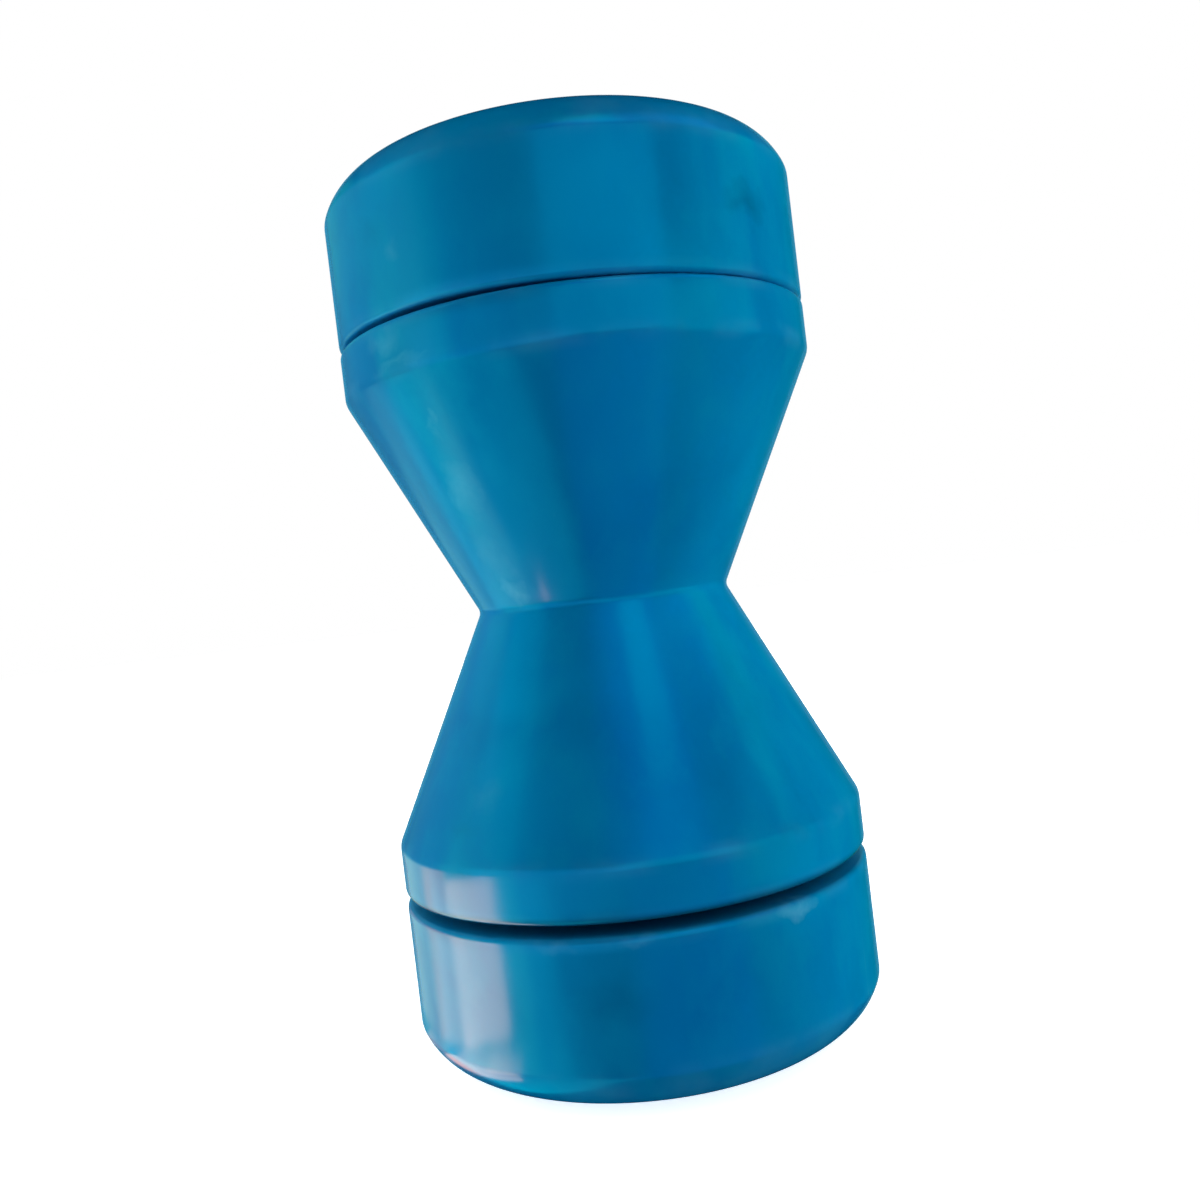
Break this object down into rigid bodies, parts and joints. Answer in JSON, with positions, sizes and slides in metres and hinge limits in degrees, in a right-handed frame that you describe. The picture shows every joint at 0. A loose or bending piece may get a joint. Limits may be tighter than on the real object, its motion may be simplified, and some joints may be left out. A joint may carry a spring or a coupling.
{
  "type": "boat trailer roller",
  "caption": "Moulded blue boat trailer keel roller: a waisted middle roller with a round-shouldered roller turning freely at each end, on one plain bore.",
  "frame": {"origin": "on the axle's axis at the waist of the middle roller", "axes": "+Z along the axle bore, up as the set stands on its lower end roller; X and Y square to it"},
  "size_m": [0.075, 0.075, 0.1399],
  "materials": {
    "blue_polyurethane": "satin moulded polyurethane with light scuffs"
  },
  "bodies": {
    "spool": {"centre_spool": "blue_polyurethane"},
    "lower_end": {"lower_end_roller": "blue_polyurethane"},
    "upper_end": {"upper_end_roller": "blue_polyurethane"}
  },
  "joints": [
    {"name": "lower_end_spin", "type": "hinge", "parent": "spool", "child": "lower_end", "pos_m": [0, 0, -0.057], "axis": [0, 0, 1], "continuous": true},
    {"name": "upper_end_spin", "type": "hinge", "parent": "spool", "child": "upper_end", "pos_m": [0, 0, 0.057], "axis": [0, 0, 1], "continuous": true}
  ]
}
